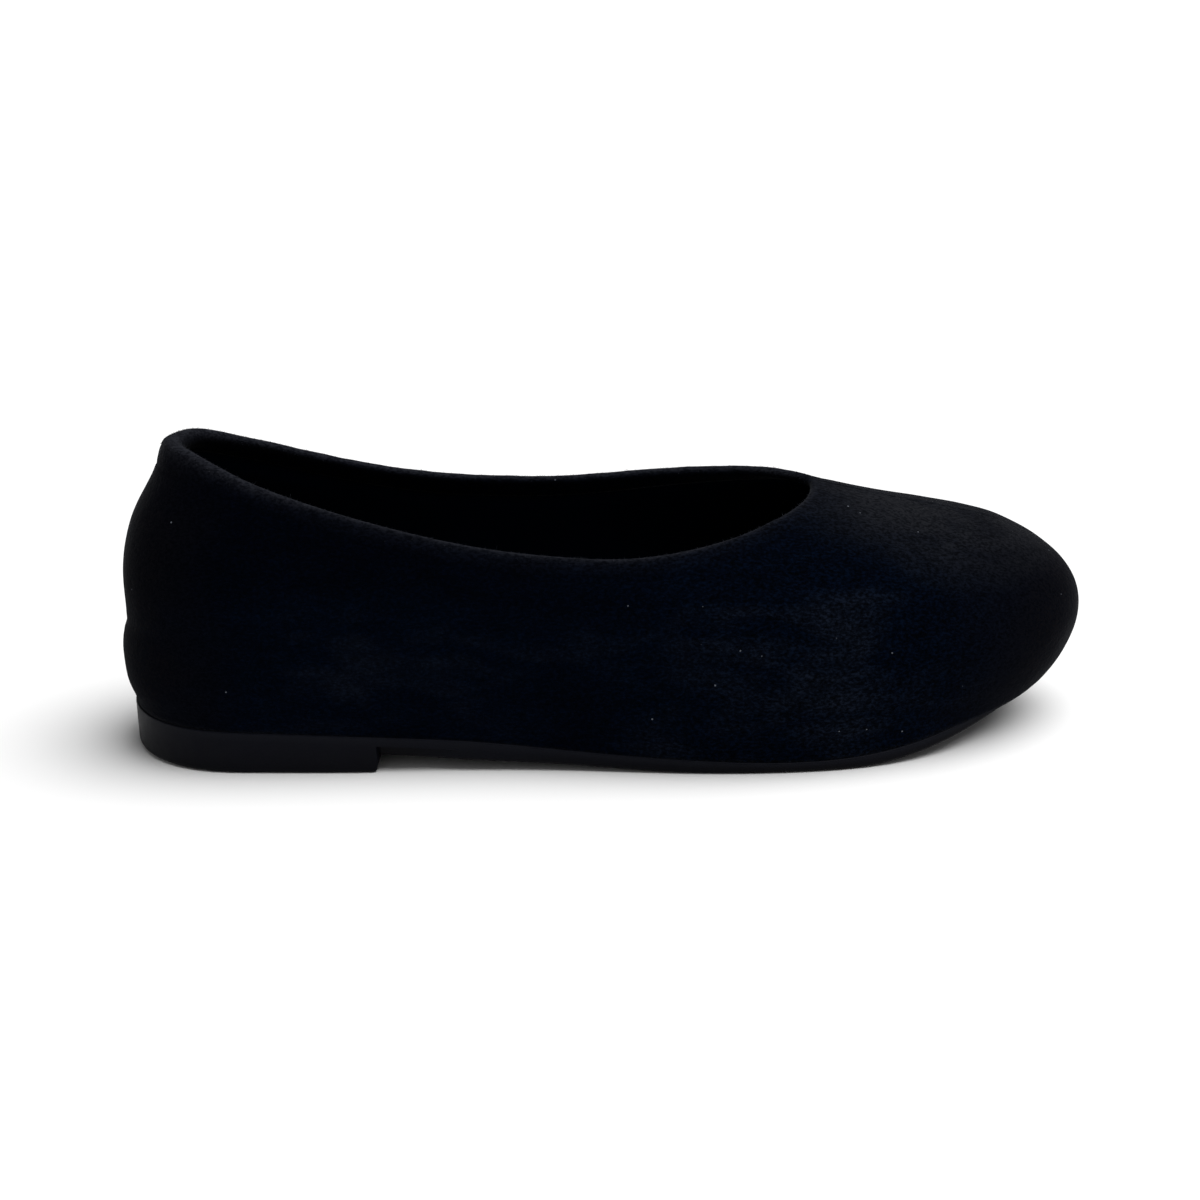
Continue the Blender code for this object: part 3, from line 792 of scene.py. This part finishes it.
def build_sole():
    breast = (HEEL_BREAST, HEEL_BREAST + BREAST_LEAN)
    xs = end_stations(420, [*(breast[0] - 1.1 * np.array([1, 0.8, 0.6, 0.42, 0.26, 0.14, 0.05, 0])),
                            breast[1], breast[1] + 0.5, *FLAT], 0.03)
    top = feather(xs) - 0.3
    corner = 1.1 * (1 - np.sqrt(1 - np.clip((xs - breast[0] + 1.1) / 1.1, 0, 1)**2))
    bottom = np.where(xs <= HEEL_BREAST + 0.01, corner, spline(UNDER, 1, xs))
    bottom = np.where((xs >= FLAT[0]) & (xs <= FLAT[1]), 0.0, np.maximum(bottom, 0.0))
    recess = np.where(xs > HEEL_BREAST + 0.01, RECESS * (1 - smooth(breast[1], RECESS_END, xs)), 0.0)
    side_end = np.maximum(top - bottom, 0)
    band = np.minimum(BAND, side_end * 0.45)
    step = np.minimum(0.25, side_end * 0.08)
    r = np.minimum(SOLE_ROUND + 0.6 * smooth(34, 8, xs), side_end * 0.40)
    t = TOP_ROUND
    tip = TOE_TUCK * smooth(200, 232, xs)
    recess = recess + tip
    insets = [t + 0.25 + tip, t + tip, 0.45 * t + tip, 0.12 * t + tip, tip, tip, 0.88 * tip + 0.12 * recess,
              0.12 * tip + 0.88 * recess, recess]
    heights = [top, top, top - 0.12 * t, top - 0.45 * t, top - t, top - band, top - band - 0.1 * step,
               top - band - 0.9 * step, top - band - step]
    for a in np.linspace(0, pi / 2, 7):
        insets.append(recess + r * 1.25 * (1 - np.cos(a)))
        heights.append(bottom + r * (1 - np.sin(a)))
    # shallow tread under the heel and the forefoot, inside a plain border
    def tread(x, y, z, is_top, f):
        if is_top:
            return z
        rib = smooth(0.55, 0.90, np.abs(np.sin(pi * (x + 1.2 * np.sin(y / 9.0)) / 5.6)))
        edge = smooth(0.07, 0.13, f) * smooth(0.93, 0.87, f)
        zone = smooth(12, 15, x) * smooth(60, 57, x) + smooth(128, 132, x) * smooth(224, 218, x)
        return z + 0.5 * rib * edge * zone
    ob = lofted("sole", xs, insets, heights, 40, [RUBBER], tread)
    sharpen(ob, 50)
    p = points(ob)
    rise = np.where(p[:, 0] < HEEL_BREAST + 0.6, 0.0, spline(UNDER, 1, p[:, 0]))
    rise = np.where((p[:, 0] > FLAT[0]) & (p[:, 0] < FLAT[1]), 0.0, rise)
    # painted shade mask: the undercut behind the heel breast and the lower part of the sole's side, darker towards
    # the bottom
    undercut_shade = smooth(HEEL_BREAST, HEEL_BREAST + 0.8, p[:, 0]) * smooth(RECESS_END, HEEL_BREAST + 5, p[:, 0])
    undercut_shade *= smooth(-BAND + 0.1, -BAND - 0.4, p[:, 2] - feather(p[:, 0]) + 0.3)
    up = p[:, 2] - rise
    low = np.maximum(0.8 * smooth(1.4, 0.3, up), 0.55 * smooth(8.5, 1.0, up) * smooth(80, 60, p[:, 0]))
    low = np.maximum(low, 0.75 * smooth(2.9, 1.0, up) * smooth(88, 110, p[:, 0]))
    paint(ob, "under", np.maximum(undercut_shade, low))
    # painted highlight mask along the sole's top edge
    paint(ob, "top_edge_highlight", smooth(-1.1, -0.5, p[:, 2] - feather(p[:, 0])))
    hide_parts("outsole")
    return ob


def build_footbed():
    xs = end_stations(120)
    z = feather(xs)
    insets = [BED_INSET + 1.2, BED_INSET + 0.3, BED_INSET - 0.5, BED_INSET - 0.7, BED_INSET - 0.2]
    heights = [z + BED_THICK - 0.1, z + BED_THICK + 0.1, z + BED_THICK + 0.7, z + 1.2, z + 0.1]

    def dish(x, y, zz, is_top, f):
        return zz - (0.7 * smooth(0, 0.2, f) * smooth(1, 0.8, f) * smooth(70, 30, x) if is_top else 0)
    ob = lofted("footbed", xs, insets, heights, 20, [FOOTBED], dish)
    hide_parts("insole")
    return ob


build_sole()
build_footbed()

# ------------------------------------------------------ floor, light, camera
def floor():
    me = bpy.data.meshes.new("floor")
    s = 6.0
    me.from_pydata([(-s, -s, 0), (s, -s, 0), (s, s, 0), (-s, s, 0)], [], [[0, 1, 2, 3]])
    m, nt, b = tree("floor")
    b.inputs["Base Color"].default_value = (0.95, 0.95, 0.95, 1)
    b.inputs["Roughness"].default_value = 0.9
    b.inputs["Specular IOR Level"].default_value = 0.1
    me.materials.append(m)
    ob = bpy.data.objects.new("floor", me)
    bpy.context.scene.collection.objects.link(ob)


def sun(name, place, strength, soft):
    l = bpy.data.lights.new(name, "SUN")
    l.energy, l.angle = strength, radians(soft)
    ob = bpy.data.objects.new(name, l)
    ob.rotation_mode = "QUATERNION"
    ob.rotation_quaternion = (-Vector(place)).to_track_quat("-Z", "Y")
    ob.location = place
    bpy.context.scene.collection.objects.link(ob)


floor()
sun("overhead", (0.42, 0.02, 1.0), 3.35, 56)

world = bpy.data.worlds.new("studio")
world.use_nodes = True
world.node_tree.nodes["Background"].inputs["Color"].default_value = (1, 1, 1, 1)
world.node_tree.nodes["Background"].inputs["Strength"].default_value = 0.22
scene = bpy.context.scene
scene.world = world
scene.view_settings.view_transform = "Standard"

AZIMUTH, ELEVATION, ROLL, DISTANCE = -1.0, 20.0, -1.2, 0.560
FOCAL = 0.560 * 3.87 * 1000 / 1200 * 36      # millimetres on a 36 mm sensor
aim = Vector((np.array([123.61, 0.0, 33.25]) - CENTRE) * MM)
a, e, ro = radians(AZIMUTH), radians(ELEVATION), radians(ROLL)
back = Vector((sin(a) * cos(e), -cos(a) * cos(e), sin(e)))
right = (-back).cross(Vector((0, 0, 1))).normalized()
above = right.cross(-back)
right, above = right * cos(ro) + above * sin(ro), -right * sin(ro) + above * cos(ro)
cam = bpy.data.cameras.new("camera")
cam.lens, cam.sensor_width = FOCAL, 36
cam.clip_start, cam.clip_end = 0.01, 30
co = bpy.data.objects.new("camera", cam)
co.matrix_world = Matrix((right, above, back)).transposed().to_4x4()
co.location = aim + back * DISTANCE
scene.collection.objects.link(co)
scene.camera = co
